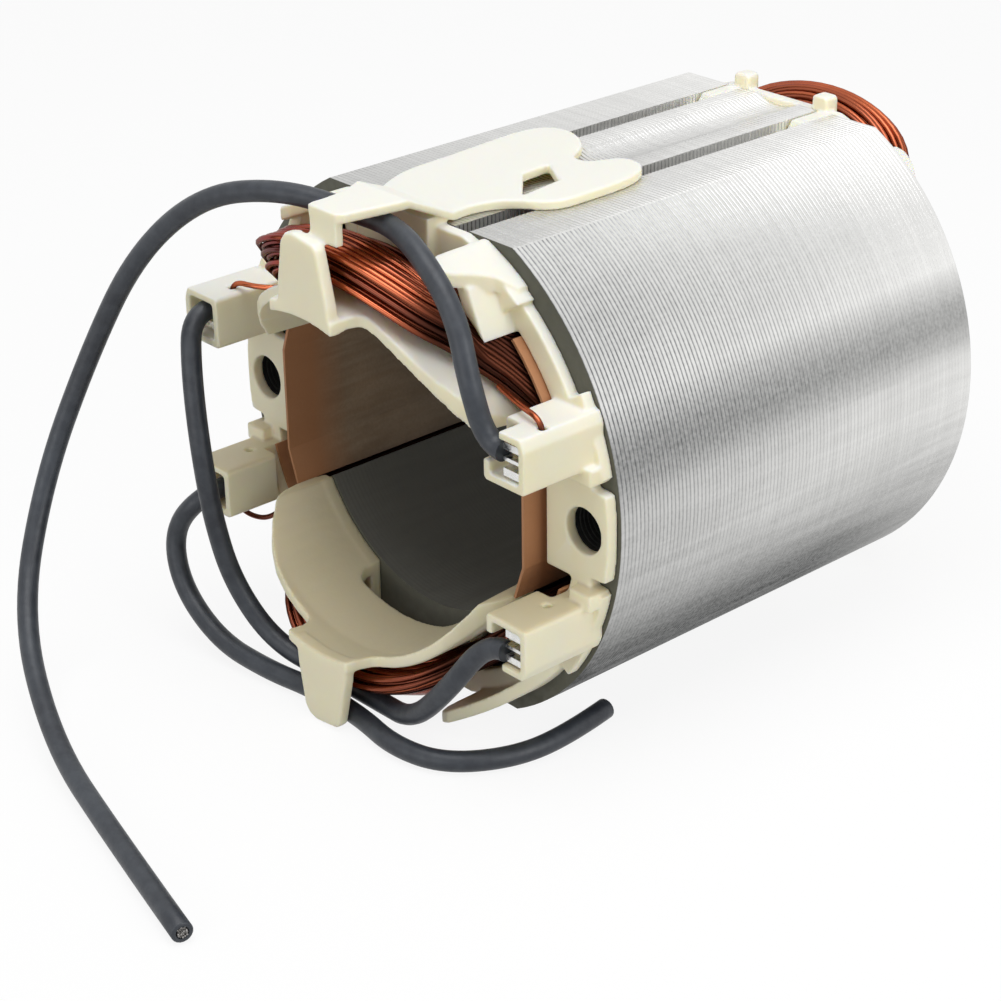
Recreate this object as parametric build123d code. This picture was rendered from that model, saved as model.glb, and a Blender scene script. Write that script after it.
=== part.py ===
"""Field stator of a universal motor: laminated core, two coils, moulded end frames, terminals and leads.

Frame: +Y runs along the motor axis from the lead end to the back, +X is right, +Z is up.
The origin is on the motor axis at the front face of the laminated core. All sizes in mm.
"""
from build123d import *
import math
import os

os.makedirs("parts", exist_ok=True)

# Core
core_length = 50.0
core_radius = 27.7
flat_half_height = 24.3
bore_radius = 17.2
horn_thickness = 1.7
horn_angle = 30.0
neck_half_width = 9.6
slot_radius = 23.0
slot_side_x = 20.6
slot_side_half_height = 5.3
screw_hole_radius = 2.3
screw_edge_wall = 1.4
groove_inner_x = 5.4
groove_width = 2.0
groove_depth = 1.9
channel_half_width = 2.9
channel_sag = 0.7

# Paper insulation
paper_thickness = 0.3
paper_clearance = 0.05
closure_x = 18.0
closure_overhang = 3.3
liner_overhang = 2.2
closure_flat_z = 5.5
closure_tip_x = 16.75
closure_tip_z = 9.1
liner_low_angle = 17.0
liner_step_angle = 5.0
liner_steps = 6

# Coils
coil_horn_clearance = 0.6
coil_paper_clearance = 0.25
top_coil_end_radius = 24.6
bottom_coil_end_radius = 23.7
rear_coil_end_radius = 24.2
bottom_coil_corner_cut = 0.62
strand_ridge = 0.07
coil_outline_count = 16

# Moulded end frames
plate_thickness = 1.3
plate_inset = 2.2
pad_inset = 0.4
pad_upper_angle = 30.0
pad_lower_angle = 36.5
pad_inner_x = 19.0
petal_wall = 1.2
petal_root_wall = 1.4
petal_clearance = 0.3
frame_bore_gap = 0.25
window_half_width = 7.6
window_depth = 3.3
window_corner = 1.6
window_outer_z = 21.2
tongue_end = -14.5
finger_thickness = 1.3
standing_rise = 1.5
finger_edge = 0.3
fin_gap = 0.4
fin_wall = 1.3
rear_fin_gap = 0.3
rear_fin_wall = 1.0
rear_tab_thickness = 1.8
rear_reach = 0.72
tower_inner_x = 20.0
tower_outer_x = 25.4
tower_low_z = 6.8
tower_high_z = 12.2
tower_front_y = -9.8
tower_edge = 0.4
foot_width = 2.9
pocket_wall = 0.8
pocket_floor_y = -4.2
wire_slot_width = 0.75
wire_slot_y = -6.5
wire_slot_upper_right_x = 24.25
wire_slot_upper_left_x = -21.7
wire_slot_lower_x = 22.9
peep_hole_radius = 0.45
peep_hole_x = 22.9
peep_hole_y = -4.8
strap_thickness = 1.0
strap_over_lead = 27.45
fit_clearance = 0.1

# Leads and wires
lead_diameter = 2.1
lead_sides = 8
conductor_diameter = 1.1
conductor_stub = 0.5
magnet_wire_diameter = 0.55
wire_sides = 6
lead_end_x = 22.3
lead_end_y = -9.3
lead_end_z = 10.2
terminal_front_y = -8.4
terminal_gap = 0.75
terminal_side_clearance = 0.2
terminal_end_clearance = 0.25

# Places that follow from the sizes above
screw_pitch = 2 * (core_radius - screw_edge_wall - screw_hole_radius)
plate_radius = core_radius - plate_inset
pad_radius = core_radius - pad_inset
finger_tip_height = flat_half_height + standing_rise
fin_inner_radius = top_coil_end_radius + fin_gap
fin_outer_radius = fin_inner_radius + fin_wall
rear_fin_inner_radius = rear_coil_end_radius + rear_fin_gap
rear_fin_outer_radius = rear_fin_inner_radius + rear_fin_wall
horn_radius = bore_radius + horn_thickness
coil_inner_radius = horn_radius + coil_horn_clearance
liner_outer_radius = slot_radius - paper_clearance
coil_slot_outer_radius = liner_outer_radius - paper_thickness - coil_paper_clearance
unroll_radius = (coil_inner_radius + coil_slot_outer_radius) / 2


# Building blocks

def prism_y(points, y0, y1):
    """Solid over a polygon of (x, z) points, from y0 to y1."""
    face = Face(Wire.make_polygon([Vector(x, y0, z) for x, z in points], close=True))
    return Solid.extrude(face, Vector(0, y1 - y0, 0))


def prism_z(points, z0, z1):
    """Solid over a polygon of (x, y) points, from z0 to z1."""
    face = Face(Wire.make_polygon([Vector(x, y, z0) for x, y in points], close=True))
    return Solid.extrude(face, Vector(0, 0, z1 - z0))


def prism_x(points, x0, x1):
    """Solid over a polygon of (y, z) points, from x0 to x1."""
    face = Face(Wire.make_polygon([Vector(x0, y, z) for y, z in points], close=True))
    return Solid.extrude(face, Vector(x1 - x0, 0, 0))


def rod_y(radius, y0, y1, x=0.0, z=0.0):
    """Round bar along Y."""
    return Solid.make_cylinder(radius, y1 - y0, Plane((x, y0, z), x_dir=(1, 0, 0), z_dir=(0, 1, 0)))


def block(x0, x1, y0, y1, z0, z1):
    """Box between two corners."""
    return Solid.make_box(x1 - x0, y1 - y0, z1 - z0, Plane((x0, y0, z0)))


def tube_y(outer, inner, y0, y1):
    """Round tube along Y."""
    return rod_y(outer, y0, y1) - rod_y(inner, y0 - 1, y1 + 1)


def turned_y(points):
    """Ring turned about the motor axis from an (r, y) outline."""
    face = Face(Wire.make_polygon([Vector(r, y, 0) for r, y in points], close=True))
    return Solid.revolve(face, 360, Axis.Y)


def polar(radius, angle):
    """(x, z) at an angle in degrees from +X."""
    return (radius * math.cos(math.radians(angle)), radius * math.sin(math.radians(angle)))


def mirrored(shape, plane):
    """Mirror image of a shape."""
    return shape.mirror(plane)


def four_ways(shape):
    """A shape and its mirror images left to right and top to bottom."""
    left = mirrored(shape, Plane.YZ)
    return [shape, left, mirrored(shape, Plane.XY), mirrored(left, Plane.XY)]


def joined(first, others):
    """One solid from a shape and all that is added to it."""
    result = first
    for other in others:
        result = result + other
    return result


def only_solid(shape):
    """The single solid in a result."""
    solids = shape.solids()
    if len(solids) != 1:
        print("  solids found:", len(solids), [round(s.volume, 3) for s in solids])
    return max(solids, key=lambda s: s.volume)


def write(node, shape, colour):
    """Writes one node and prints its size."""
    solid = only_solid(shape)
    solid.label = node
    solid.color = Color(*colour)
    export_step(solid, "parts/" + node + ".step")
    box = solid.bounding_box()
    print("%-24s %9.1f mm3  valid %s  x %.1f %.1f  y %.1f %.1f  z %.1f %.1f" % (
        node, solid.volume, solid.is_valid, box.min.X, box.max.X, box.min.Y, box.max.Y, box.min.Z, box.max.Z))
    return solid


steel = (0.62, 0.63, 0.63)
ivory = (0.90, 0.87, 0.74)
copper = (0.72, 0.30, 0.17)
paper = (0.52, 0.36, 0.24)
tin = (0.80, 0.80, 0.78)
rubber = (0.14, 0.15, 0.18)


# Laminated core

def slot_space(y0, y1, side_x):
    """Both winding slots with the open gap between the pole horns."""
    ring = tube_y(slot_radius, bore_radius + horn_thickness, y0, y1)
    neck = block(-neck_half_width, neck_half_width, y0 - 1, y1 + 1, -30, 30)
    band = block(-30, 30, y0 - 1, y1 + 1, -slot_side_half_height, slot_side_half_height)
    slots = ring - neck - band
    gap_angle = math.radians(horn_angle)
    gap_x = (bore_radius + horn_thickness) * math.cos(gap_angle)
    gap_z = (bore_radius + horn_thickness) * math.sin(gap_angle)
    near_x = bore_radius * math.cos(gap_angle) - 2
    near_z = near_x * math.tan(gap_angle)
    outline = [(near_x, -near_z), (gap_x, -gap_z), (side_x, -gap_z), (side_x, gap_z), (gap_x, gap_z), (near_x, near_z)]
    wedge = prism_y(outline, y0, y1)
    side = wedge & block(0, 40, y0, y1, -slot_side_half_height, slot_side_half_height)
    throat = wedge & rod_y(bore_radius + horn_thickness + 0.3, y0, y1)
    return [slots, side, mirrored(side, Plane.YZ), throat, mirrored(throat, Plane.YZ)]


core = rod_y(core_radius, 0, core_length) & block(-30, 30, 0, core_length, -flat_half_height, flat_half_height)
core = core - rod_y(bore_radius, -1, core_length + 1)
for space in slot_space(-1, core_length + 1, slot_side_x):
    core = core - space
for side in (-1, 1):
    core = core - rod_y(screw_hole_radius, -1, core_length + 1, x=side * screw_pitch / 2)
    groove = block(groove_inner_x, groove_inner_x + groove_width, -1, core_length + 1,
                   flat_half_height - groove_depth, flat_half_height + 1)
    for cut in (groove, mirrored(groove, Plane.YZ)):
        core = core - (cut if side > 0 else mirrored(cut, Plane.XY))
    channel_radius = (channel_half_width ** 2 + channel_sag ** 2) / (2 * channel_sag)
    channel_z = flat_half_height - channel_sag + channel_radius
    core = core - rod_y(channel_radius, -1, core_length + 1, z=side * channel_z)
core = write("core_stack", core, steel)


# Moulded frames: the shell that both ends share

frame_bore_radius = bore_radius + frame_bore_gap
petal_inner = [(frame_bore_radius, 0.0), (bore_radius + 0.5, -4.0), (bore_radius + 1.0, -10.0),
               (bore_radius + 0.4, tongue_end)]
petal_outer = [(bore_radius + 0.4 + petal_wall, tongue_end), (bore_radius + 1.0 + petal_wall, -10.0),
               (bore_radius + 0.9 + petal_wall, -4.0), (bore_radius + petal_root_wall, 0.0)]
petal_half_width = bore_radius - 0.6
petal_edge = [(0.0, 0.0), (0.0, -3.6), (-0.3, -5.4), (-1.0, -7.0), (-2.0, -8.4), (-3.2, -9.5), (-4.8, -10.3),
              (-7.0, -10.8), (-9.2, -11.0)]
tongue_edge = [(5.6, -11.1), (5.0, -11.6), (4.7, -12.6), (4.6, tongue_end)]


def petal(with_tongue):
    """Curved inner flange over the upper pole, with or without the tongue that carries the finger."""
    ring = turned_y(petal_inner + petal_outer)
    side = [(petal_half_width + dx, y) for dx, y in petal_edge]
    if with_tongue:
        side = side + tongue_edge
    else:
        side = [(x, y * rear_reach) for x, y in side]
    outline = side + [(-x, y) for x, y in reversed(side)]
    low_z = bore_radius * math.sin(math.radians(horn_angle)) + petal_clearance
    return ring & prism_z(outline, low_z, slot_radius)


def shell_end(with_pads, with_tongue):
    """Ring plate with both petals, and the window at each pole that leaves the steel bare."""
    flange = petal(with_tongue)
    window = block(-window_half_width, window_half_width, -window_depth, 1, bore_radius - 3, window_outer_z)
    window = window.fillet(window_corner, window.edges().filter_by(Axis.Z).group_by(Axis.Y)[0])
    shell = joined(end_plate(with_pads), [flange, mirrored(flange, Plane.XY)])
    return shell - window - mirrored(window, Plane.XY)


def end_plate(with_pads):
    """Flat ring on the core's end face, with or without wider pads at the screw holes."""
    plate = rod_y(plate_radius, -plate_thickness, 0)
    if with_pads:
        wide = rod_y(pad_radius, -plate_thickness, 0)
        reach = 2 * core_radius
        upper = reach * math.tan(math.radians(pad_upper_angle))
        lower = reach * math.tan(math.radians(pad_lower_angle))
        wedge = prism_y([(0, 0), (reach, -lower), (reach, upper)], -3, 3)
        plate = joined(plate, [wide & wedge, wide & mirrored(wedge, Plane.YZ)])
    plate = plate & block(-40, 40, -5, 5, -flat_half_height, flat_half_height)
    plate = plate - rod_y(frame_bore_radius, -5, 5)
    for space in slot_space(-3, 3, pad_inner_x):
        plate = plate - space
    hole = rod_y(screw_hole_radius, -5, 5, x=screw_pitch / 2)
    notch_x = pad_radius - 2.3
    notch = prism_y([(notch_x, 4.6), (core_radius + 1, 4.3), (core_radius + 1, 6.2), (notch_x, 5.7)], -3, 3)
    plate = plate - hole - mirrored(hole, Plane.YZ)
    for cut in four_ways(notch):
        plate = plate - cut
    return plate


def outer_fin(outer, inner, plan):
    """Curved outer wall that holds the end turns in, from its (x, y) plan."""
    return tube_y(outer, inner, -9, 0) & prism_z(plan, 5, flat_half_height)


# Front frame: fingers, terminal towers and the strap over the lead

front_frame = shell_end(True, True)

fin_rise = [(9.4, 0), (9.7, -6.0), (10.3, -7.3), (11.4, -7.6)]
upper_fin = outer_fin(fin_outer_radius, fin_inner_radius,
                      fin_rise + [(12.3, -6.4), (12.9, -4.6), (13.8, -2.6), (15.4, -1.2), (15.4, 0)])
lower_fin = outer_fin(fin_outer_radius, fin_inner_radius, fin_rise + [(12.6, -6.8), (20.6, -1.9), (21.6, 0)])
lower_fin = mirrored(lower_fin, Plane.XY)
lug = prism_y([(11.0, 22.6), (13.1, 21.7), (15.2, 16.9), (14.0, 18.0), (12.3, 19.35)], -5.3, 0)
web = prism_y([(12.0, 21.4), (13.1, 22.6), (16.4, 20.2), (14.2, 18.9)], -2.2, 0)
for piece in (upper_fin, lower_fin, lug, web):
    front_frame = joined(front_frame, [piece, mirrored(piece, Plane.YZ)])

finger_tip = [(3.0, finger_tip_height - 0.9), (2.5, finger_tip_height - 0.4), (-0.6, finger_tip_height),
              (-1.7, finger_tip_height - 0.3), (-2.4, finger_tip_height - 1.2)]
finger = prism_y([(-3.4, 16.0), (4.6, 16.0), (4.3, 19.5)] + finger_tip + [(-3.2, 20.0)],
                 tongue_end, tongue_end + finger_thickness)
finger = finger.fillet(finger_edge, finger.edges().group_by(Axis.Y)[0])
finger = finger - rod_y(bore_radius + 0.4, -20, 0)
front_frame = joined(front_frame, [finger, mirrored(finger, Plane.XY)])

tower = block(tower_inner_x, tower_outer_x, tower_front_y, 1, tower_low_z, tower_high_z)
tower = tower.fillet(tower_edge, tower.edges().filter_by(Axis.Y))
tower = tower - rod_y(slot_radius + fit_clearance, -3.4, 2)
tower = tower & rod_y(core_radius, -20, 0)
foot = block(fin_outer_radius - foot_width, fin_outer_radius, -2.6, 0, tower_low_z - 1.3, tower_low_z + 0.5)
front_frame = joined(front_frame, four_ways(tower) + four_ways(foot))

pocket = block(tower_inner_x + pocket_wall, tower_outer_x - pocket_wall, tower_front_y - 1, pocket_floor_y,
               tower_low_z + pocket_wall, tower_high_z - pocket_wall)
lead_notch = block(tower_inner_x - 1, tower_inner_x + 2, tower_front_y - 1, lead_end_y + 2.2,
                   lead_end_z - lead_diameter / 2 - 0.2, tower_high_z + 1)


def wire_slot(x, side):
    """Notch through a tower's outer wall for the magnet wire, above (side 1) or below (side -1)."""
    half = wire_slot_width / 2
    notch = block(x - half, x + half, wire_slot_y - half, wire_slot_y + half, tower_high_z - 1.5, tower_high_z + 2)
    return notch if side > 0 else mirrored(notch, Plane.XY)


wire_slots = [wire_slot(wire_slot_upper_right_x, 1), wire_slot(wire_slot_upper_left_x, 1),
              wire_slot(wire_slot_lower_x, -1), wire_slot(-wire_slot_lower_x, -1)]
peep_hole = Solid.make_cylinder(peep_hole_radius, pocket_wall + 2,
                                Plane((peep_hole_x, peep_hole_y, -tower_low_z - pocket_wall - 1)))
for cut in four_ways(pocket):
    front_frame = front_frame - cut
for cut in (lead_notch, mirrored(lead_notch, Plane.XY)):
    front_frame = front_frame - cut
for cut in wire_slots + [peep_hole, mirrored(peep_hole, Plane.YZ)]:
    front_frame = front_frame - cut

strap_front = [(0.0, -12.2), (0.3, -13.1), (4.2, -13.1), (4.8, -12.4), (5.8, -6.5)]
strap_side = [(5.8, -6.5), (5.0, -1.5), (4.3, 2.5), (5.6, 6.5), (8.6, 9.3), (9.2, 13.5), (8.9, 19.0), (8.2, 21.2),
              (7.0, 22.6), (5.4, 23.1), (4.0, 22.6), (3.1, 20.8), (2.4, 19.7), (1.4, 19.4), (0.3, 20.0), (-0.6, 21.6),
              (-2.2, 23.3), (-4.4, 24.5), (-6.6, 24.7), (-8.2, 23.7), (-8.9, 21.5), (-8.8, 17.0), (-8.2, 10.5),
              (-7.6, 4.5), (-5.5, 0.0), (-1.2, -6.5), (0.0, -12.2)]
strap_edges = [Edge.make_line(Vector(*a, 20), Vector(*b, 20)) for a, b in zip(strap_front, strap_front[1:])]
strap_edges.append(Edge.make_spline([Vector(x, y, 20) for x, y in strap_side]))
strap_rise = [(26, flat_half_height), (0.8, flat_half_height), (-5.6, strap_over_lead), (-14, strap_over_lead),
              (-14, strap_over_lead + strap_thickness), (-5.9, strap_over_lead + strap_thickness),
              (0.5, flat_half_height + strap_thickness), (26, flat_half_height + strap_thickness)]
strap = Solid.extrude(Face(Wire(strap_edges)), Vector(0, 0, 12)) & prism_x(strap_rise, -12, 12)
strap = strap - prism_z([(0.9, 12.6), (5.4, 8.4), (4.6, 13.8), (0.6, 16.2)], 20, 32)
hook = block(0.4, 4.2, -13.1, -12.1, 25.2, strap_over_lead + strap_thickness)
strap_root = block(-6.2, 4.2, -2.4, 0.0, 20.5, flat_half_height + 0.9)
strap_root = strap_root & prism_x([(-2.4, 20.5), (0, 20.5), (0, 25.2), (-0.4, 25.2), (-2.4, 25.7)], -12, 12)
strap_key = block(groove_inner_x + fit_clearance, groove_inner_x + groove_width - fit_clearance, 10.5, 21.0,
                  flat_half_height - 1.0, flat_half_height + 0.5)
front_frame = joined(front_frame, [strap, hook, strap_root, strap_key, mirrored(strap_key, Plane.YZ)])
front_frame = write("front_end_frame", front_frame, ivory)


# Rear frame: the same shell with outer lugs and tongues that fill the grooves of the flats

rear_half = shell_end(False, False)
rear_fin = outer_fin(rear_fin_outer_radius, rear_fin_inner_radius,
                     [(13.2, 0), (13.4, -3.2), (14.2, -3.9), (15.6, -3.6), (20.6, 0)])
rear_tab = block(4.5, 6.6, -rear_tab_thickness, 0, flat_half_height - 1.5, finger_tip_height)
rear_tab = rear_tab.fillet(tower_edge, rear_tab.edges().filter_by(Axis.Y).group_by(Axis.Z)[-1])
tongue_floor = flat_half_height - groove_depth + fit_clearance
tongue = prism_x([(-1.0, tongue_floor), (-1.0, flat_half_height), (4.2, flat_half_height), (5.6, tongue_floor)],
                 groove_inner_x + fit_clearance, groove_inner_x + groove_width - fit_clearance)
for piece in (rear_fin, rear_tab, tongue):
    rear_half = joined(rear_half, four_ways(piece))
rear_frame = mirrored(rear_half, Plane.XZ).moved(Location((0, core_length, 0)))
rear_frame = write("rear_end_frame", rear_frame, ivory)


# Coils: each a closed ring of strands, laid round a pole.
# A route runs from the slot to the middle of the end turns, as (length along unroll_radius, y).

outer_route = [(23.4, 0.0), (22.8, -1.2), (21.1, -2.5), (18.8, -4.0), (16.4, -5.9), (14.0, -8.1), (11.2, -10.2),
               (7.6, -11.6), (3.9, -12.3), (0.0, -12.5)]
inner_route = [(11.6, 0.0), (11.5, -0.7), (11.1, -1.6), (10.3, -2.3), (9.0, -2.9), (7.4, -3.3), (5.6, -3.5),
               (3.8, -3.6), (1.9, -3.6), (0.0, -3.6)]


def ease(value):
    """Smooth step from 0 to 1."""
    value = min(1.0, max(0.0, value))
    return value * value * (3 - 2 * value)


def coil_outline(corner_cut):
    """Ridged outline of the bundle in (across, outward) units from 0 to 1."""
    points = []
    for index in range(coil_outline_count):
        angle = 2 * math.pi * (index + 0.5) / coil_outline_count
        dx = math.cos(angle)
        dz = math.sin(angle)
        size = (abs(dx) ** 5 + abs(dz) ** 5) ** (-1 / 5)
        ridge = 1 - strand_ridge * (index % 2)
        across = 0.5 + 0.5 * dx * size * ridge
        outward = 0.5 + 0.5 * dz * size * ridge
        if corner_cut and across + outward > 2 - corner_cut:
            excess = (across + outward - 2 + corner_cut) / 2
            across = across - excess
            outward = outward - excess
        points.append((across, outward))
    return points


def coil_station(outer, inner, rear, end_radius, corner_cut, sign):
    """One ring of points round the bundle."""
    ring = []
    bulge = ease((-outer[1] - 2.0) / 6.0)
    reach = rear_reach if rear else 1.0
    for across, outward in coil_outline(corner_cut * bulge):
        s = inner[0] + (outer[0] - inner[0]) * across
        y = inner[1] + (outer[1] * reach - inner[1]) * across
        low = coil_inner_radius + 0.07 * max(0.0, -y - 2)
        high = coil_slot_outer_radius + (end_radius - coil_slot_outer_radius) * ease((-y - 4.9) / 3.0)
        radius = low + (high - low) * outward
        angle = s / unroll_radius
        ring.append(Vector(radius * math.sin(angle), core_length - y if rear else y, sign * radius * math.cos(angle)))
    return ring


def coil(end_radius, corner_cut, sign):
    """Closed solid of the wound bundle."""
    quarter = list(zip(outer_route, inner_route))
    half = quarter + [((-o[0], o[1]), (-i[0], i[1])) for o, i in reversed(quarter[:-1])]
    rings = [coil_station(o, i, False, end_radius, corner_cut, sign) for o, i in half]
    rings = rings + [coil_station(o, i, True, rear_coil_end_radius, 0.0, sign) for o, i in reversed(half)]
    faces = []
    for index, ring in enumerate(rings):
        following = rings[(index + 1) % len(rings)]
        for corner in range(len(ring)):
            after = (corner + 1) % len(ring)
            a, b, c, d = ring[corner], ring[after], following[after], following[corner]
            faces.append(Face(Wire.make_polygon([a, b, c], close=True)))
            faces.append(Face(Wire.make_polygon([a, c, d], close=True)))
    solid = Solid(Shell(faces))
    if solid.volume < 0:
        solid = Solid(Shell([-f for f in faces]))
    return solid


top_coil = write("top_coil", coil(top_coil_end_radius, 0.0, 1), copper)
bottom_coil = write("bottom_coil", coil(bottom_coil_end_radius, bottom_coil_corner_cut, -1), copper)


# Paper slot insulation

def strip(points, y0, y1):
    """Folded paper strip of even thickness over (x, z) points."""
    half = paper_thickness / 2
    left = []
    right = []
    for index, (x, z) in enumerate(points):
        before = points[max(index - 1, 0)]
        after = points[min(index + 1, len(points) - 1)]
        dx, dz = after[0] - before[0], after[1] - before[1]
        length = math.hypot(dx, dz)
        left.append((x - dz / length * half, z + dx / length * half))
        right.append((x + dz / length * half, z - dx / length * half))
    return prism_y(left + right[::-1], y0, y1)


closure = strip([(closure_tip_x, -closure_tip_z), (closure_x, -closure_flat_z), (closure_x, closure_flat_z),
                 (closure_tip_x, closure_tip_z)],
                -closure_overhang, core_length + closure_overhang)
liner_radius = liner_outer_radius - paper_thickness / 2
liner = strip([polar(liner_radius, liner_low_angle + liner_step_angle * step) for step in range(liner_steps + 1)],
              -liner_overhang, core_length + liner_overhang)
write("slot_closure_right", closure, paper)
write("slot_closure_left", mirrored(closure, Plane.YZ), paper)
write("slot_liner_upper_right", liner, paper)
write("slot_liner_upper_left", mirrored(liner, Plane.YZ), paper)
write("slot_liner_lower_right", mirrored(liner, Plane.XY), paper)
write("slot_liner_lower_left", mirrored(mirrored(liner, Plane.XY), Plane.YZ), paper)


# Tinned terminals in the tower pockets

terminal_low = tower_low_z + pocket_wall + terminal_end_clearance
terminal_high = tower_high_z - pocket_wall - terminal_end_clearance


def terminal(x0, front_y):
    """Forked terminal with three prongs that open to the front."""
    x1 = tower_outer_x - pocket_wall - terminal_side_clearance
    body = block(x0, x1, front_y, pocket_floor_y, terminal_low, terminal_high)
    height = terminal_high - terminal_low
    for part in (1, 2):
        middle = terminal_low + height * part / 3 + 0.05
        body = body - block(x0 - 1, x1 + 1, front_y - 1, pocket_floor_y - 2.0,
                            middle - terminal_gap / 2, middle + terminal_gap / 2)
    return body


right_terminal = terminal(lead_end_x, lead_end_y - 0.1)
left_terminal = mirrored(terminal(tower_inner_x + pocket_wall + 0.3, terminal_front_y), Plane.YZ)
write("terminal_upper_right", right_terminal, tin)
write("terminal_lower_right", mirrored(right_terminal, Plane.XY), tin)
write("terminal_upper_left", left_terminal, tin)
write("terminal_lower_left", mirrored(left_terminal, Plane.XY), tin)


# Enamelled lead-out wires from the coils to the towers

def swept_tube(points, radii, diameter, sides):
    """Bar of near-round section along straight runs joined by tangent arcs; the section has the true area."""
    path = FilletPolyline(*points, radius=radii)
    plane = Plane(origin=path @ 0, z_dir=path % 0)
    corner_radius = diameter / 2 * math.sqrt(2 * math.pi / sides / math.sin(2 * math.pi / sides))
    tube = sweep(plane * RegularPolygon(corner_radius, sides), path=path)
    exact = math.pi * diameter ** 2 / 4 * path.length
    print("  length %.1f  volume ratio %.4f" % (path.length, tube.volume / exact))
    return tube


def upper_lead_out(end_x):
    """Magnet wire from the top coil over the tower and down through its slot."""
    side = math.copysign(1, end_x)
    reach = abs(end_x)
    route = [(side * 16.4, -4.6, 13.1), (side * (reach - 3.8), -6.0, 13.1), (end_x, wire_slot_y, 12.9),
             (end_x, wire_slot_y, 11.5)]
    return swept_tube(route, [1.2, 0.6], magnet_wire_diameter, wire_sides)


def lower_lead_out(end_x):
    """Magnet wire from the bottom coil in a loose loop below the tower and up through its slot."""
    side = math.copysign(1, end_x)
    route = [(side * 17.9, -5.4, -12.2), (side * 18.9, -5.8, -13.1), (side * 21.2, -6.2, -13.5),
             (end_x, wire_slot_y, -13.0), (end_x, wire_slot_y, -11.5)]
    return swept_tube(route, [0.8, 1.4, 0.6], magnet_wire_diameter, wire_sides)


write("lead_out_upper_right", upper_lead_out(wire_slot_upper_right_x), copper)
write("lead_out_upper_left", upper_lead_out(wire_slot_upper_left_x), copper)
write("lead_out_lower_right", lower_lead_out(wire_slot_lower_x), copper)
write("lead_out_lower_left", lower_lead_out(-wire_slot_lower_x), copper)


# Leads

def turn_radii(points):
    """Bend radius at each inner corner, from the shorter run beside it."""
    radii = []
    for before, corner, after in zip(points, points[1:], points[2:]):
        first = Vector(*corner) - Vector(*before)
        second = Vector(*after) - Vector(*corner)
        turn = math.radians(first.get_angle(second))
        radii.append(0.45 * min(first.length, second.length) / math.tan(turn / 2))
    return radii


def lead(node, points):
    """Lead of plain round section; prints its bend radii."""
    radii = turn_radii(points)
    print("  bends", " ".join("%.1f" % r for r in radii))
    tube = swept_tube(points, radii, lead_diameter, lead_sides)
    return write(node, tube, rubber)


def stub(node, points):
    """Bare end of the conductor at a lead's cut end."""
    end = Vector(*points[-1])
    direction = (end - Vector(*points[-2])).normalized()
    plane = Plane(origin=end, z_dir=direction)
    write(node, Solid.make_cylinder(conductor_diameter / 2, conductor_stub, plane), copper)


long_lead_route = [
    (lead_end_x, lead_end_y, lead_end_z), (20.0, lead_end_y, lead_end_z), (19.3, -10.6, 16.0), (16.4, -9.5, 21.3),
    (11.6, -8.9, 25.0), (6.0, -7.6, 26.4), (-0.4, -7.5, 26.2), (-7.6, -10.4, 27.2), (-16.2, -13.2, 25.0),
    (-24.4, -15.8, 17.4), (-29.6, -18.8, 6.4), (-31.8, -24.2, -6.6), (-26.6, -31.6, -18.0), (-12.0, -37.8, -23.8),
    (4.6, -41.8, -24.6), (20.6, -45.6, -24.6)]
jumper_route = [
    (-22.7, terminal_front_y, lead_end_z), (-22.7, -11.0, lead_end_z), (-20.4, -13.0, 5.6), (-17.8, -14.4, -1.4),
    (-16.6, -14.2, -9.6), (-15.2, -13.2, -16.6), (-11.0, -11.6, -22.3), (-4.0, -9.9, -23.7), (4.0, -9.7, -23.7),
    (10.6, -11.2, -22.1), (15.8, -11.2, -16.6), (19.7, lead_end_y, -lead_end_z), (lead_end_x, lead_end_y, -lead_end_z)]
short_lead_route = [
    (-22.8, terminal_front_y, -9.9), (-22.8, -11.2, -9.9), (-26.0, -13.0, -14.4), (-23.8, -14.0, -19.8),
    (-17.0, -14.3, -23.6), (-9.8, -13.3, -24.5), (-3.8, -12.0, -24.6), (3.4, -11.95, -24.65), (9.8, -13.1, -24.6),
    (15.6, -11.6, -24.6), (19.4, -5.8, -24.6), (19.9, 0.8, -24.55), (18.8, 6.9, -24.6)]
long_lead = lead("long_lead", long_lead_route)
jumper_lead = lead("jumper_lead", jumper_route)
short_lead = lead("short_lead", short_lead_route)
stub("long_lead_conductor", long_lead_route)
stub("short_lead_conductor", short_lead_route)
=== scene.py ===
import math
import random

import bmesh
import bpy
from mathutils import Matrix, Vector
from mathutils.geometry import tessellate_polygon


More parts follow.
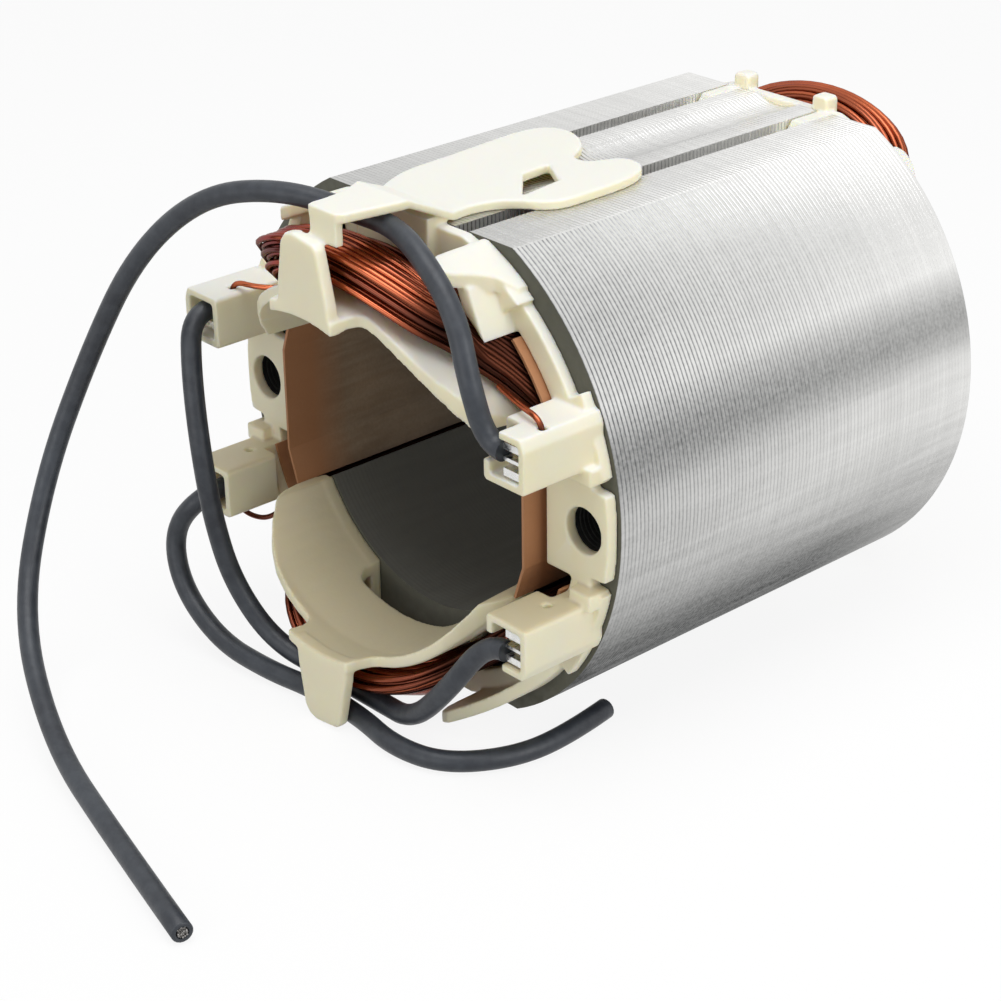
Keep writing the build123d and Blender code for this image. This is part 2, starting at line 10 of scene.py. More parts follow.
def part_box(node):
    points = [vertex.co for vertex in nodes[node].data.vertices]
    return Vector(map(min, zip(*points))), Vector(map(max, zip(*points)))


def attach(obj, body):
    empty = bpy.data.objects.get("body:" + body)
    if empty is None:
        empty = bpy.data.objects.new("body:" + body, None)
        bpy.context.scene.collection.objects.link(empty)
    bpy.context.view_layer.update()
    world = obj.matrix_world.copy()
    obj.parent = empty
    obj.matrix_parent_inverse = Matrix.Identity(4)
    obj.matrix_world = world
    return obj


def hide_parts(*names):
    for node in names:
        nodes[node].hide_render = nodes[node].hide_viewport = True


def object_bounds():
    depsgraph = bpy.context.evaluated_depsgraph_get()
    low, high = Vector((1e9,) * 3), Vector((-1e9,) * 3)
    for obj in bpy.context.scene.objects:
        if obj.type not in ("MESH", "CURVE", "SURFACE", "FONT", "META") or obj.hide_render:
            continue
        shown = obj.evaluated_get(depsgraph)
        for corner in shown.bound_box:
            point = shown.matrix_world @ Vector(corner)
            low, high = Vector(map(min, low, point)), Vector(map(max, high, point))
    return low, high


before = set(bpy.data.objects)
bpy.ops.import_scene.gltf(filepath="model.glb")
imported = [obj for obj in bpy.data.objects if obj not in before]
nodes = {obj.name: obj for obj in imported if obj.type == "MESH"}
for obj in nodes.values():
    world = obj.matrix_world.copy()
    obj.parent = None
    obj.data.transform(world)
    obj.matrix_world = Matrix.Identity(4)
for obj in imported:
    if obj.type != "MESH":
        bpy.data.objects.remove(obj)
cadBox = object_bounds()
mm = 0.001
scene = bpy.context.scene
print("stage: frame loaded")


# Camera, matched to the photo's angle

cameraView = {
    "eye": (169.93, -140.23, 104.48),   # mm
    "turn": (63.314, 0.705, 48.188),    # degrees about X, Y, Z
    "lens": 89.15,
    "sensor": 36.0,
    "clip": (0.01, 20),                 # m
}
cameraData = bpy.data.cameras.new("stillCamera")
cameraData.lens = cameraView["lens"]
cameraData.sensor_width = cameraView["sensor"]
cameraData.clip_start, cameraData.clip_end = cameraView["clip"]
camera = bpy.data.objects.new("stillCamera", cameraData)
camera.location = Vector(cameraView["eye"]) * mm
camera.rotation_euler = [math.radians(a) for a in cameraView["turn"]]
scene.collection.objects.link(camera)
scene.camera = camera


# Small helpers for meshes and curves

def addPiece(name, mesh, material, replaced):
    piece = bpy.data.objects.new(name, mesh)
    scene.collection.objects.link(piece)
    mesh.materials.clear()
    mesh.materials.append(material)
    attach(piece, "root")
    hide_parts(*replaced)
    return piece


def meshFrom(name, points, faces):
    mesh = bpy.data.meshes.new(name)
    mesh.from_pydata([tuple(p) for p in points], [], faces)
    mesh.polygons.foreach_set("use_smooth", [True] * len(faces))
    mesh.update()
    return mesh


def keepOnPoints(mesh, **layers):
    # one value a point in each layer, for the finish to read
    for label, values in layers.items():
        layer = mesh.attributes.new(label, "FLOAT", "POINT")
        layer.data.foreach_set("value", values)


def routeLine(points, steps):
    # points along the NURBS curve that a route controls
    curve = bpy.data.curves.new("route", "CURVE")
    curve.dimensions = "3D"
    spline = curve.splines.new("NURBS")
    spline.points.add(len(points) - 1)
    for place, point in zip(spline.points, points):
        place.co = (*point, 1)
    spline.order_u = 3
    spline.use_endpoint_u = True
    curve.resolution_u = steps
    holder = bpy.data.objects.new("route", curve)
    scene.collection.objects.link(holder)
    bpy.context.view_layer.update()
    line = bpy.data.meshes.new_from_object(holder.evaluated_get(bpy.context.evaluated_depsgraph_get()))
    found = [v.co.copy() for v in line.vertices]
    bpy.data.objects.remove(holder)
    bpy.data.curves.remove(curve)
    bpy.data.meshes.remove(line)
    return found


def framesAlong(line, closed=False):
    # (point, across, up) at each point of a line, turned as little as possible
    count = len(line)
    tangents = []
    for i in range(count):
        before = line[i - 1] if closed or i > 0 else line[i]
        after = line[(i + 1) % count] if closed or i < count - 1 else line[i]
        tangents.append((after - before).normalized())
    across = tangents[0].orthogonal().normalized()
    frames = []
    for point, tangent in zip(line, tangents):
        across = (across - tangent * across.dot(tangent)).normalized()
        frames.append((point, across, tangent.cross(across)))
    return frames


def ringOf(place, radius, sides):
    point, across, up = place
    ring = []
    for k in range(sides):
        angle = 2 * math.pi * k / sides
        ring.append(point + (across * math.cos(angle) + up * math.sin(angle)) * radius)
    return ring


def joinRings(points, faces, rings, caps=False):
    # skin over a list of rings, added to points and faces
    sides = len(rings[0])
    first = len(points)
    last = first + (len(rings) - 1) * sides
    for ring in rings:
        points.extend(ring)
    for a in range(first, last, sides):
        b = a + sides
        for k in range(sides):
            n = (k + 1) % sides
            faces.append((a + k, a + n, b + n, b + k))
    if caps:
        faces.append(tuple(first + k for k in reversed(range(sides))))
        faces.append(tuple(last + k for k in range(sides)))


def ease(value):
    value = min(1.0, max(0.0, value))
    return value * value * (3 - 2 * value)


# Shader node helpers and the effects that several finishes share

effects = {
    "grainMask": (0.38, 0.62),
    "grainSpan": (0.2, 0.8),  # the noise's usual lowest and highest value
    "driftMask": (0.35, 0.65),
    "driftDetail": 5,
}


def newNode(tree, kind, **settings):
    made = tree.nodes.new(kind)
    for key, value in settings.items():
        setattr(made, key, value)
    return made


def link(tree, output, target):
    tree.links.new(output, target)


def mathNode(tree, operation, a, b=None):
    made = newNode(tree, "ShaderNodeMath", operation=operation)
    for socket, value in zip(made.inputs, (a, b)):
        if isinstance(value, (int, float)):
            socket.default_value = value
        elif value is not None:
            link(tree, value, socket)
    return made.outputs[0]


def mixColor(tree, factor, a, b):
    made = newNode(tree, "ShaderNodeMix", data_type="RGBA")
    for socket, value in ((made.inputs[0], factor), (made.inputs[6], a), (made.inputs[7], b)):
        if isinstance(value, tuple):
            socket.default_value = (*value, 1)
        else:
            link(tree, value, socket)
    return made.outputs[2]


def layColors(tree, color, look, layers):
    # each (share, name of a colour) covers the ones before it by its share
    for share, label in layers:
        color = mixColor(tree, share, color, look[label])
    return color


def spread(tree, value, low, high, newLow=0.0, newHigh=1.0):
    made = newNode(tree, "ShaderNodeMapRange")
    link(tree, value, made.inputs["Value"])
    made.inputs["From Min"].default_value = low
    made.inputs["From Max"].default_value = high
    made.inputs["To Min"].default_value = newLow
    made.inputs["To Max"].default_value = newHigh
    return made.outputs["Result"]


def upTo(tree, value, most):
    return spread(tree, value, 0, 1, 0.0, most)


def splitVector(tree, output):
    split = newNode(tree, "ShaderNodeSeparateXYZ")
    link(tree, output, split.inputs[0])
    return split.outputs[0], split.outputs[1], split.outputs[2]


def objectPlace(tree):
    return splitVector(tree, newNode(tree, "ShaderNodeTexCoord").outputs["Object"])


def surfaceFacing(tree):
    return splitVector(tree, newNode(tree, "ShaderNodeNewGeometry").outputs["Normal"])


def newGroup(name, inputs, outputs):
    group = bpy.data.node_groups.new(name, "ShaderNodeTree")
    for label, kind, value in inputs:
        socket = group.interface.new_socket(name=label, in_out="INPUT", socket_type=kind)
        socket.default_value = value
    for label, kind in outputs:
        group.interface.new_socket(name=label, in_out="OUTPUT", socket_type=kind)
    return group, group.nodes.new("NodeGroupInput"), group.nodes.new("NodeGroupOutput")


def placeGroup(tree, group, **values):
    made = newNode(tree, "ShaderNodeGroup", node_tree=group)
    for label, value in values.items():
        made.inputs[label].default_value = value
    return made


def makeGrain():
    # fine noise, stretched along the motor axis if asked, as a height and a mask
    group, start, end = newGroup(
        "surfaceGrain",
        [("Scale", "NodeSocketFloat", 800.0), ("Stretch", "NodeSocketFloat", 1.0),
         ("Detail", "NodeSocketFloat", 4.0)],
        [("Height", "NodeSocketFloat"), ("Mask", "NodeSocketFloat")])
    x, y, z = objectPlace(group)
    joined = newNode(group, "ShaderNodeCombineXYZ")
    noise = newNode(group, "ShaderNodeTexNoise")
    link(group, x, joined.inputs["X"])
    link(group, mathNode(group, "DIVIDE", y, start.outputs["Stretch"]), joined.inputs["Y"])
    link(group, z, joined.inputs["Z"])
    link(group, joined.outputs[0], noise.inputs["Vector"])
    link(group, start.outputs["Scale"], noise.inputs["Scale"])
    link(group, start.outputs["Detail"], noise.inputs["Detail"])
    link(group, noise.outputs["Fac"], end.inputs["Height"])
    link(group, spread(group, noise.outputs["Fac"], *effects["grainMask"]), end.inputs["Mask"])
    return group


def makeToneDrift():
    # slow, uneven change between a colour and a second one
    group, start, end = newGroup(
        "toneDrift",
        [("Color", "NodeSocketColor", (0.5, 0.5, 0.5, 1)), ("Second", "NodeSocketColor", (0.4, 0.4, 0.4, 1)),
         ("Scale", "NodeSocketFloat", 60.0), ("Amount", "NodeSocketFloat", 0.5)],
        [("Color", "NodeSocketColor")])
    place = newNode(group, "ShaderNodeTexCoord")
    noise = newNode(group, "ShaderNodeTexNoise")
    noise.inputs["Detail"].default_value = effects["driftDetail"]
    link(group, place.outputs["Object"], noise.inputs["Vector"])
    link(group, start.outputs["Scale"], noise.inputs["Scale"])
    mask = spread(group, noise.outputs["Fac"], *effects["driftMask"])
    share = mathNode(group, "MULTIPLY", mask, start.outputs["Amount"])
    link(group, mixColor(group, share, start.outputs["Color"], start.outputs["Second"]), end.inputs["Color"])
    return group


def makeEdgeWearAndHighlight():
    # mask that is high on ridges: real rubbed wear on the tin, a painted edge highlight on the plastic
    group, start, end = newGroup(
        "edgeWearAndHighlight",
        [("Low", "NodeSocketFloat", 0.5), ("High", "NodeSocketFloat", 0.6)],
        [("Mask", "NodeSocketFloat")])
    shape = newNode(group, "ShaderNodeNewGeometry")
    ramp = newNode(group, "ShaderNodeMapRange")
    link(group, shape.outputs["Pointiness"], ramp.inputs["Value"])
    link(group, start.outputs["Low"], ramp.inputs["From Min"])
    link(group, start.outputs["High"], ramp.inputs["From Max"])
    link(group, ramp.outputs["Result"], end.inputs["Mask"])
    return group


surfaceGrain = makeGrain()
toneDrift = makeToneDrift()
edgeWearAndHighlight = makeEdgeWearAndHighlight()


def newFinish(name, **shaderValues):
    material = bpy.data.materials.new(name)
    material.use_nodes = True
    tree = material.node_tree
    tree.nodes.clear()
    shader = newNode(tree, "ShaderNodeBsdfPrincipled")
    for label, value in shaderValues.items():
        shader.inputs[label.replace("_", " ")].default_value = value
    output = newNode(tree, "ShaderNodeOutputMaterial")
    link(tree, shader.outputs["BSDF"], output.inputs["Surface"])
    return material, tree, shader


def driftBetween(tree, look, first, second):
    scale, amount = look["drift"]
    drift = placeGroup(tree, toneDrift, Color=(*look[first], 1), Second=(*look[second], 1),
                       Scale=scale, Amount=amount)
    return drift.outputs["Color"]


def grainRoughness(tree, grain, roughness):
    return spread(tree, grain.outputs["Height"], *effects["grainSpan"], *roughness)


def dress(tree, shader, color, rough, height, bump):
    # bump is how far the height reaches and how strongly it shows
    link(tree, color, shader.inputs["Base Color"])
    link(tree, rough, shader.inputs["Roughness"])
    relief = newNode(tree, "ShaderNodeBump")
    relief.inputs["Distance"].default_value, relief.inputs["Strength"].default_value = bump
    link(tree, height, relief.inputs["Height"])
    link(tree, relief.outputs["Normal"], shader.inputs["Normal"])


# Finishes

steelLook = {
    "bright": (0.97, 0.965, 0.945),
    "dull": (0.90, 0.895, 0.88),
    # dark colour for the painted reflection bands and the painted shade at the front, and for the real tone
    # of sheets and streaks
    "shade": (0.026, 0.029, 0.028),
    "rim": (0.70, 0.70, 0.70),  # tint of the gloss at a grazing angle
    "gap": (0.115, 0.12, 0.13),
    # painted glints: fine bright specks
    "speckleGlint": (0.85, 0.85, 0.84),
    "faceOxide": (0.115, 0.115, 0.09),
    # painted shade in the bore
    "boreShade": (0.155, 0.155, 0.14),
    # painted shade in the screw holes, near black
    "holeShade": (0.012, 0.012, 0.012),
    "drift": (45.0, 0.6),  # scale, amount
    "sheetTones": 0.08,  # the most that one sheet is darker than another
    "streakShare": 0.10,
    "glintShare": 0.16,
    # painted shade: darkest at the front end, gone at frontShadeEnd
    "frontShade": 0.30,
    "frontShadeEnd": 46.0 * mm,
    "sheetPitch": 0.5 * mm,
    "boreEdge": 17.9 * mm,
    "holeEdge": 2.5 * mm,
    "holePitch": 48.0 * mm,
    "flatEdge": 24.2 * mm,
    "endFacing": 0.98,
    "lineEdges": (0.24, 0.46),  # in sheets, from a sheet's middle
    "lineFade": (4.0 * mm, 46.0 * mm),  # the lines weaken along the motor axis
    "lineStrength": (0.9, 0.12),
    "lineRise": (-12, 22, 0.35, 1.0),  # weak below the first angle in degrees, full above the second
    "flatLines": 0.30,
    "bandLean": 0.03,  # degrees per mm of length
    # painted reflection bands: degrees above the middle, share of the shade colour
    "bands": [(-62, 0.90), (-52, 0.97), (-44, 0.97), (-38, 0.95), (-30, 0.75), (-22, 0.40), (-15, 0.20),
              (-8, 0.08), (0, 0.05), (6, 0.14), (10, 0.42), (14, 0.61), (18, 0.56), (22, 0.34), (26, 0.09),
              (32, 0.14), (38, 0.17), (45, 0.12), (52, 0.03), (60, 0.0), (63, 0.02), (76, 0.05), (90, 0.03)],
    "lowSide": (-14, -24),  # degrees
    "rearLift": (33 * mm, 50 * mm, 0.0, 0.5),
    "roughness": (0.30, 0.46),
    "oxideRoughness": 0.25,  # comes on top
    "oxideMetallic": 0.2,
    "bump": (0.012 * mm, 0.6),
}


def paintedReflectionBands(tree, x, y, z):
    # share of the shade colour on the round side, in bands that run along the axis: painted reflections,
    # dark and light; and the angle in degrees
    angle = mathNode(tree, "ARCTAN2", z, mathNode(tree, "ABSOLUTE", x))
    degrees = mathNode(tree, "MULTIPLY", angle, 180 / math.pi)
    lean = mathNode(tree, "MULTIPLY", y, steelLook["bandLean"] / mm)
    bands = steelLook["bands"]
    low, high = bands[0][0], bands[-1][0]
    ramp = newNode(tree, "ShaderNodeValToRGB")
    link(tree, spread(tree, mathNode(tree, "SUBTRACT", degrees, lean), low, high), ramp.inputs[0])
    while len(ramp.color_ramp.elements) < len(bands):
        ramp.color_ramp.elements.new(0.5)
    for element, (place, tone) in zip(ramp.color_ramp.elements, bands):
        element.position = (place - low) / (high - low)
        element.color = (tone, tone, tone, 1)
    # the low painted reflection band grows lighter towards the back
    lowSide = spread(tree, degrees, *steelLook["lowSide"])
    rearLift = mathNode(tree, "MULTIPLY", lowSide, spread(tree, y, *steelLook["rearLift"]))
    share = mathNode(tree, "MULTIPLY", ramp.outputs["Color"], mathNode(tree, "SUBTRACT", 1.0, rearLift))
    return share, degrees


def sheetLines(tree, y, z, degrees):
    # dark joints between the sheets, weaker to the back, low down and on the two flats
    place = mathNode(tree, "FRACT", mathNode(tree, "DIVIDE", y, steelLook["sheetPitch"]))
    offset = mathNode(tree, "ABSOLUTE", mathNode(tree, "SUBTRACT", place, 0.5))
    line = spread(tree, offset, *steelLook["lineEdges"])
    alongAxis = spread(tree, y, *steelLook["lineFade"], *steelLook["lineStrength"])
    fade = mathNode(tree, "MULTIPLY", alongAxis, spread(tree, degrees, *steelLook["lineRise"]))
    onFlat = mathNode(tree, "GREATER_THAN", mathNode(tree, "ABSOLUTE", z), steelLook["flatEdge"])
    onFlat = spread(tree, onFlat, 0, 1, 1.0, steelLook["flatLines"])
    return mathNode(tree, "MULTIPLY", mathNode(tree, "MULTIPLY", line, fade), onFlat)


def planRadius(tree, a, b):
    squares = mathNode(tree, "ADD", mathNode(tree, "MULTIPLY", a, a), mathNode(tree, "MULTIPLY", b, b))
    return mathNode(tree, "SQRT", squares)


def makeSteel():
    material, tree, shader = newFinish(
        "laminationSteel", Metallic=1.0, Specular_Tint=(*steelLook["rim"], 1))
    x, y, z = objectPlace(tree)
    sheet = mathNode(tree, "FLOOR", mathNode(tree, "DIVIDE", y, steelLook["sheetPitch"]))
    sheetTone = newNode(tree, "ShaderNodeTexWhiteNoise", noise_dimensions="1D")
    link(tree, sheet, sheetTone.inputs["W"])
    streaks = placeGroup(tree, surfaceGrain, Scale=900.0, Stretch=14.0)
    speckleGlint = placeGroup(tree, surfaceGrain, Scale=2600.0)
    bands, degrees = paintedReflectionBands(tree, x, y, z)
    turnedTo = mathNode(tree, "ABSOLUTE", surfaceFacing(tree)[1])
    endFace = mathNode(tree, "GREATER_THAN", turnedTo, steelLook["endFacing"])
    inBore = mathNode(tree, "LESS_THAN", planRadius(tree, x, z), steelLook["boreEdge"])
    besideHole = mathNode(tree, "SUBTRACT", mathNode(tree, "ABSOLUTE", x), steelLook["holePitch"] / 2)
    inHole = mathNode(tree, "LESS_THAN", planRadius(tree, besideHole, z), steelLook["holeEdge"])
    color = driftBetween(tree, steelLook, "bright", "dull")
    color = layColors(tree, color, steelLook, [
        (upTo(tree, sheetTone.outputs["Value"], steelLook["sheetTones"]), "shade"),
        # painted shade towards the front
        (spread(tree, y, 0.0, steelLook["frontShadeEnd"], steelLook["frontShade"], 0.0), "shade"),
        # painted reflection bands
        (bands, "shade"),
        (sheetLines(tree, y, z, degrees), "gap"),
        (upTo(tree, streaks.outputs["Mask"], steelLook["streakShare"]), "shade"),
        # painted glints
        (upTo(tree, speckleGlint.outputs["Mask"], steelLook["glintShare"]), "speckleGlint"),
        # painted shade in the bore
        (inBore, "boreShade"),
        (endFace, "faceOxide"),
        # painted shade in the screw holes
        (inHole, "holeShade")])
    # rougher and less metallic: the end faces' oxide, and with the painted shade in the bore and the holes
    oxideAndShade = mathNode(tree, "MAXIMUM", mathNode(tree, "MAXIMUM", inBore, endFace), inHole)
    rough = spread(tree, streaks.outputs["Mask"], 0, 1, *steelLook["roughness"])
    rough = mathNode(tree, "ADD", rough, mathNode(tree, "MULTIPLY", oxideAndShade, steelLook["oxideRoughness"]))
    link(tree, spread(tree, oxideAndShade, 0, 1, 1.0, steelLook["oxideMetallic"]), shader.inputs["Metallic"])
    height = mathNode(tree, "ADD", streaks.outputs["Height"], speckleGlint.outputs["Height"])
    dress(tree, shader, color, rough, height, steelLook["bump"])
    return material


plasticLook = {
    "color": (0.94, 0.87, 0.66),
    "deep": (0.89, 0.80, 0.52),
    # painted edge highlight on ridges
    "edge": (0.95, 0.92, 0.80),
    "edgeShare": 0.5,
    "drift": (70.0, 0.5),
    "upper": (0.90, 0.88, 0.80),  # painted light: the colour of surfaces that face up, high on the part
    "lower": (0.64, 0.57, 0.39),  # and painted shade: their colour low on it
    "between": (-6 * mm, 6 * mm),
    "upFacing": (0.1, 0.8),
    "glow": 0.40,
    "glowRadius": (1.0, 0.7, 0.3),
    "glowDepth": 1.6 * mm,
    "roughness": (0.36, 0.52),
    "flowShare": 2.0,
    "bump": (0.02 * mm, 0.5),
}


def makePlastic():
    material, tree, shader = newFinish(
        "ivoryPlastic", IOR=1.5, Subsurface_Weight=plasticLook["glow"],
        Subsurface_Radius=plasticLook["glowRadius"], Subsurface_Scale=plasticLook["glowDepth"])
    wearAndHighlight = placeGroup(tree, edgeWearAndHighlight, Low=0.52, High=0.60)
    flow = placeGroup(tree, surfaceGrain, Scale=260.0, Stretch=3.0, Detail=2.0)
    grain = placeGroup(tree, surfaceGrain, Scale=2400.0, Detail=3.0)
    color = driftBetween(tree, plasticLook, "color", "deep")
    # painted edge highlight on ridges
    worn = mathNode(tree, "MULTIPLY", wearAndHighlight.outputs["Mask"], plasticLook["edgeShare"])
    color = layColors(tree, color, plasticLook, [(worn, "edge")])
    # painted light on up-facing surfaces high on the part, painted shade on those low on it
    level = spread(tree, objectPlace(tree)[2], *plasticLook["between"])
    upward = mixColor(tree, level, plasticLook["lower"], plasticLook["upper"])
    color = mixColor(tree, spread(tree, surfaceFacing(tree)[2], *plasticLook["upFacing"]), color, upward)
    height = mathNode(tree, "MULTIPLY", flow.outputs["Height"], plasticLook["flowShare"])
    height = mathNode(tree, "ADD", height, grain.outputs["Height"])
    rough = grainRoughness(tree, grain, plasticLook["roughness"])
    dress(tree, shader, color, rough, height, plasticLook["bump"])
    return material


wireLook = {
    "bright": (0.60, 0.150, 0.060),
    "deep": (0.14, 0.032, 0.019),
    "dark": (0.026, 0.011, 0.008),
    "rim": (0.38, 0.19, 0.13),  # tint of the gloss at a grazing angle
    "drift": (160.0, 0.45),
    "deepShare": 0.85,
    "darkTones": (0.72, 1.0, 0.0, 0.8),  # from the first tone on a strand darkens
    # painted shade where the strands go into the slots
    "slotShade": 0.9,
    "coat": (0.22, 0.0),  # bright strands, shaded ones
    "roughness": (0.14, 0.26),
    "slotRoughness": 0.2,  # comes on top
    "bump": (0.006 * mm, 0.4),
}


def makeWire():
    material, tree, shader = newFinish(
        "enamelledWire", Metallic=0.85, Coat_Roughness=0.12, Specular_Tint=(*wireLook["rim"], 1))
    tone = newNode(tree, "ShaderNodeAttribute", attribute_name="strandTone").outputs["Fac"]
    shade = newNode(tree, "ShaderNodeAttribute", attribute_name="strandShade").outputs["Fac"]
    grain = placeGroup(tree, surfaceGrain, Scale=1500.0)
    color = driftBetween(tree, wireLook, "bright", "deep")
    color = layColors(tree, color, wireLook, [
        (upTo(tree, tone, wireLook["deepShare"]), "deep"),
        (spread(tree, tone, *wireLook["darkTones"]), "dark"),
        # painted shade near the slot mouths
        (upTo(tree, shade, wireLook["slotShade"]), "dark")])
    link(tree, spread(tree, shade, 0, 1, *wireLook["coat"]), shader.inputs["Coat Weight"])
    rough = grainRoughness(tree, grain, wireLook["roughness"])
    rough = mathNode(tree, "ADD", rough, upTo(tree, shade, wireLook["slotRoughness"]))
    dress(tree, shader, color, rough, grain.outputs["Height"], wireLook["bump"])
    return material


paperLook = {
    "color": (0.44, 0.30, 0.19),
    "fibre": (0.50, 0.38, 0.27),
    "dark": (0.20, 0.14, 0.09),
    "edge": (0.46, 0.20, 0.085),
    # painted shade deeper in the slot
    "far": (0.27, 0.25, 0.21),
    "drift": (120.0, 0.6),
    "fibreShare": 0.45,
    "speckShare": 0.2,
    "farFade": (2 * mm, 34 * mm, 0.0, 0.7),
    "edgeFade": (0.0, 4.5 * mm, 0.85, 0.0),
    "roughness": (0.55, 0.75),
    "bump": (0.03 * mm, 0.6),
}


def makePaper():
    material, tree, shader = newFinish("slotPaper")
    fibre = placeGroup(tree, surfaceGrain, Scale=1400.0, Stretch=8.0)
    speck = placeGroup(tree, surfaceGrain, Scale=3200.0)
    y = objectPlace(tree)[1]
    color = driftBetween(tree, paperLook, "color", "dark")
    color = layColors(tree, color, paperLook, [
        (upTo(tree, fibre.outputs["Mask"], paperLook["fibreShare"]), "fibre"),
        (upTo(tree, speck.outputs["Mask"], paperLook["speckShare"]), "dark"),
        # painted shade deeper in the slot
        (spread(tree, y, *paperLook["farFade"]), "far"),
        (spread(tree, y, *paperLook["edgeFade"]), "edge")])
    rough = spread(tree, fibre.outputs["Mask"], 0, 1, *paperLook["roughness"])
    height = mathNode(tree, "ADD", fibre.outputs["Height"], speck.outputs["Height"])
    dress(tree, shader, color, rough, height, paperLook["bump"])
    return material


tinLook = {
    "color": (0.78, 0.78, 0.76),
    "dull": (0.50, 0.50, 0.49),
    "edge": (0.9, 0.9, 0.88),
    "edgeShare": 0.5,
    "drift": (420.0, 0.6),
    "roughness": (0.20, 0.42),
    "bump": (0.01 * mm, 0.6),
}


def makeTin():
    material, tree, shader = newFinish("tinPlate", Metallic=1.0)
    wearAndHighlight = placeGroup(tree, edgeWearAndHighlight, Low=0.5, High=0.58)
    grain = placeGroup(tree, surfaceGrain, Scale=2200.0, Stretch=5.0)
    color = driftBetween(tree, tinLook, "color", "dull")
    worn = mathNode(tree, "MULTIPLY", wearAndHighlight.outputs["Mask"], tinLook["edgeShare"])
    color = layColors(tree, color, tinLook, [(worn, "edge")])
    rough = spread(tree, grain.outputs["Mask"], 0, 1, *tinLook["roughness"])
    dress(tree, shader, color, rough, grain.outputs["Height"], tinLook["bump"])
    return material


rubberLook = {
    "color": (0.013, 0.016, 0.023),
    "worn": (0.030, 0.037, 0.048),
    "dust": (0.13, 0.145, 0.165),
    "dustShare": 0.12,
    "drift": (90.0, 0.7),
    "roughness": (0.36, 0.54),
    "bump": (0.03 * mm, 0.5),
}


def makeRubber():
    material, tree, shader = newFinish("leadRubber", Sheen_Weight=0.06, Sheen_Roughness=0.4)
    grain = placeGroup(tree, surfaceGrain, Scale=1900.0)
    dust = placeGroup(tree, surfaceGrain, Scale=700.0, Detail=6.0)
    color = driftBetween(tree, rubberLook, "color", "worn")
    dusted = upTo(tree, dust.outputs["Mask"], rubberLook["dustShare"])
    color = layColors(tree, color, rubberLook, [(dusted, "dust")])
    rough = grainRoughness(tree, grain, rubberLook["roughness"])
    dress(tree, shader, color, rough, grain.outputs["Height"], rubberLook["bump"])
    return material


strandLook = {
    "bright": (0.34, 0.33, 0.32),
    "dark": (0.12, 0.11, 0.10),
    "drift": (900.0, 0.8),
    "roughness": (0.3, 0.55),
    "bump": (0.01 * mm, 0.5),
}


def makeStrandEnd():
    material, tree, shader = newFinish("tinnedStrand", Metallic=0.9)
    grain = placeGroup(tree, surfaceGrain, Scale=3000.0)
    color = driftBetween(tree, strandLook, "bright", "dark")
    rough = spread(tree, grain.outputs["Mask"], 0, 1, *strandLook["roughness"])
    dress(tree, shader, color, rough, grain.outputs["Height"], strandLook["bump"])
    return material


laminationSteel = makeSteel()
ivoryPlastic = makePlastic()
enamelledWire = makeWire()
slotPaper = makePaper()
tinPlate = makeTin()
leadRubber = makeRubber()
tinnedStrand = makeStrandEnd()
print("stage: finishes made")


# Leads: rubber sleeves over stranded wire, each a tube along its route's own curve

leads = {
    "longLead": {
        "node": "long_lead",
        "endNode": "long_lead_conductor",
        "length": 0.1509,
        "route": [
            (0.0223, -0.0093, 0.0102), (0.0200, -0.0093, 0.0102), (0.0193, -0.0106, 0.0160),
            (0.0164, -0.0095, 0.0213), (0.0116, -0.0089, 0.0250), (0.0060, -0.0076, 0.0264),
            (-0.0004, -0.0075, 0.0262), (-0.0076, -0.0104, 0.0272), (-0.0162, -0.0132, 0.0250),
            (-0.0244, -0.0158, 0.0174), (-0.0296, -0.0188, 0.0064), (-0.0318, -0.0242, -0.0066),
            (-0.0266, -0.0316, -0.0180), (-0.0120, -0.0378, -0.0238), (0.0046, -0.0418, -0.0246),
            (0.0206, -0.0456, -0.0246)],
    },
    "jumperLead": {
        "node": "jumper_lead",
        "endNode": None,
        "length": 0.0773,
        "route": [
            (-0.0227, -0.0084, 0.0102), (-0.0227, -0.0110, 0.0102), (-0.0204, -0.0130, 0.0056),
            (-0.0178, -0.0144, -0.0014), (-0.0166, -0.0142, -0.0096), (-0.0152, -0.0132, -0.0166),
            (-0.0110, -0.0116, -0.0223), (-0.0040, -0.0099, -0.0237), (0.0040, -0.0097, -0.0237),
            (0.0106, -0.0112, -0.0221), (0.0158, -0.0112, -0.0166), (0.0197, -0.0093, -0.0102),
            (0.0223, -0.0093, -0.0102)],
    },
    "shortLead": {
        "node": "short_lead",
        "endNode": "short_lead_conductor",
        "length": 0.0736,
        "route": [
            (-0.0228, -0.0084, -0.0099), (-0.0228, -0.0112, -0.0099), (-0.0260, -0.0130, -0.0144),
            (-0.0238, -0.0140, -0.0198), (-0.0170, -0.0143, -0.0236), (-0.0098, -0.0133, -0.0245),
            (-0.0038, -0.0120, -0.0246), (0.0034, -0.01195, -0.02465), (0.0098, -0.0131, -0.0246),
            (0.0156, -0.0116, -0.0246), (0.0194, -0.0058, -0.0246), (0.0199, 0.0008, -0.02455),
            (0.0188, 0.0069, -0.0246)],
    },
}
sleeve = {
    "diameter": 2.1 * mm,
    "bore": 1.15 * mm,
    "sides": 20,
    "steps": 10,
    "cutDepth": 1.2 * mm,
    "cutEdge": 50,  # degrees, sharper edges stay sharp
    "lip": 0.12 * mm,
    "strandRadius": 0.105 * mm,
    "strandSides": 8,
    "strandRings": ((1, 6), (2, 12)),
    "strandTwist": 0.2,  # radians from ring to ring
    "strandStickOut": 0.25 * mm,
    "strandUneven": (-0.6, 1.0),  # of strandStickOut
    "strandLean": 0.4,  # of a strand's radius
    "strandTip": (0.3, 0.6),  # length and width of the tip, in radii
    "strandSeat": 0.9,  # of cutDepth
    "seed": 7,
}


